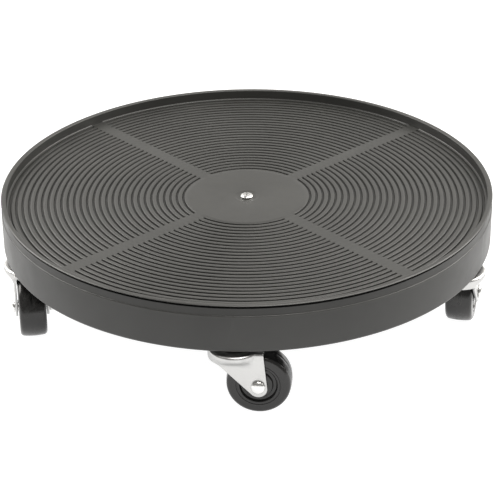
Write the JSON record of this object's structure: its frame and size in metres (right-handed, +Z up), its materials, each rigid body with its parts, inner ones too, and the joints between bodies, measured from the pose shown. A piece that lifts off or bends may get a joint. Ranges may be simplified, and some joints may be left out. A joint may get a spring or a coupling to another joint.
{
  "type": "round platform dolly",
  "caption": "Low round rolling platform: ribbed black plastic deck with a raised rim on swivel casters with bright steel forks and black wheels.",
  "frame": {"origin": "On the floor, straight under the centre of the deck.", "axes": "+Z is up. -Y points to caster 1, and the casters are numbered counter-clockwise seen from above."},
  "size_m": [0.4064, 0.4094, 0.0981],
  "materials": {
    "deck_plastic": "moulded black-grey plastic with a fine pebble grain",
    "wheel_plastic": "hard black moulded plastic, satin",
    "fork_zinc": "bright zinc-plated pressed sheet",
    "cup_steel": "bright zinc-plated pressing",
    "ball_steel": "polished bearing steel",
    "bolt_steel": "bright zinc-plated fasteners",
    "insert_brass": "turned brass"
  },
  "bodies": {
    "deck": {"deck": "deck_plastic", "centre_screw": "bolt_steel", "centre_washer": "bolt_steel", "centre_nut": "bolt_steel", "threaded_insert_1": "insert_brass", "stem_1": "bolt_steel", "top_cup_1": "cup_steel", "thrust_washer_1": "bolt_steel", "threaded_insert_2": "insert_brass", "stem_2": "bolt_steel", "top_cup_2": "cup_steel", "thrust_washer_2": "bolt_steel", "threaded_insert_3": "insert_brass", "stem_3": "bolt_steel", "top_cup_3": "cup_steel", "thrust_washer_3": "bolt_steel", "threaded_insert_4": "insert_brass", "stem_4": "bolt_steel", "top_cup_4": "cup_steel", "thrust_washer_4": "bolt_steel", "threaded_insert_5": "insert_brass", "stem_5": "bolt_steel", "top_cup_5": "cup_steel", "thrust_washer_5": "bolt_steel"},
    "caster_1": {"fork_1": "fork_zinc", "ball_ring_1": "ball_steel", "axle_sleeve_1": "bolt_steel", "axle_bolt_1": "bolt_steel", "axle_nut_1": "bolt_steel"},
    "caster_wheel_1": {"wheel_1": "wheel_plastic"},
    "caster_2": {"fork_2": "fork_zinc", "ball_ring_2": "ball_steel", "axle_sleeve_2": "bolt_steel", "axle_bolt_2": "bolt_steel", "axle_nut_2": "bolt_steel"},
    "caster_wheel_2": {"wheel_2": "wheel_plastic"},
    "caster_3": {"fork_3": "fork_zinc", "ball_ring_3": "ball_steel", "axle_sleeve_3": "bolt_steel", "axle_bolt_3": "bolt_steel", "axle_nut_3": "bolt_steel"},
    "caster_wheel_3": {"wheel_3": "wheel_plastic"},
    "caster_4": {"fork_4": "fork_zinc", "ball_ring_4": "ball_steel", "axle_sleeve_4": "bolt_steel", "axle_bolt_4": "bolt_steel", "axle_nut_4": "bolt_steel"},
    "caster_wheel_4": {"wheel_4": "wheel_plastic"},
    "caster_5": {"fork_5": "fork_zinc", "ball_ring_5": "ball_steel", "axle_sleeve_5": "bolt_steel", "axle_bolt_5": "bolt_steel", "axle_nut_5": "bolt_steel"},
    "caster_wheel_5": {"wheel_5": "wheel_plastic"}
  },
  "joints": [
    {"name": "swivel_1", "type": "hinge", "parent": "deck", "child": "caster_1", "pos_m": [0, -0.1852, 0.055], "axis": [0, 0, 1], "continuous": true},
    {"name": "roll_1", "type": "hinge", "parent": "caster_1", "child": "caster_wheel_1", "pos_m": [0.01879, -0.18586, 0.0254], "axis": [0.0349, 0.9994, 0], "continuous": true},
    {"name": "swivel_2", "type": "hinge", "parent": "deck", "child": "caster_2", "pos_m": [0.17614, -0.05723, 0.055], "axis": [0, 0, 1], "continuous": true},
    {"name": "roll_2", "type": "hinge", "parent": "caster_2", "child": "caster_wheel_2", "pos_m": [0.1794, -0.03872, 0.0254], "axis": [-0.9848, 0.1736, 0], "continuous": true},
    {"name": "swivel_3", "type": "hinge", "parent": "deck", "child": "caster_3", "pos_m": [0.10886, 0.14983, 0.055], "axis": [0, 0, 1], "continuous": true},
    {"name": "roll_3", "type": "hinge", "parent": "caster_3", "child": "caster_wheel_3", "pos_m": [0.09327, 0.16034, 0.0254], "axis": [-0.5592, -0.829, 0], "continuous": true},
    {"name": "swivel_4", "type": "hinge", "parent": "deck", "child": "caster_4", "pos_m": [-0.10886, 0.14983, 0.055], "axis": [0, 0, 1], "continuous": true},
    {"name": "roll_4", "type": "hinge", "parent": "caster_4", "child": "caster_wheel_4", "pos_m": [-0.12462, 0.13959, 0.0254], "axis": [0.5446, -0.8387, 0], "continuous": true},
    {"name": "swivel_5", "type": "hinge", "parent": "deck", "child": "caster_5", "pos_m": [-0.17614, -0.05723, 0.055], "axis": [0, 0, 1], "continuous": true},
    {"name": "roll_5", "type": "hinge", "parent": "caster_5", "child": "caster_wheel_5", "pos_m": [-0.17271, -0.07572, 0.0254], "axis": [0.9833, 0.1822, 0], "continuous": true}
  ]
}
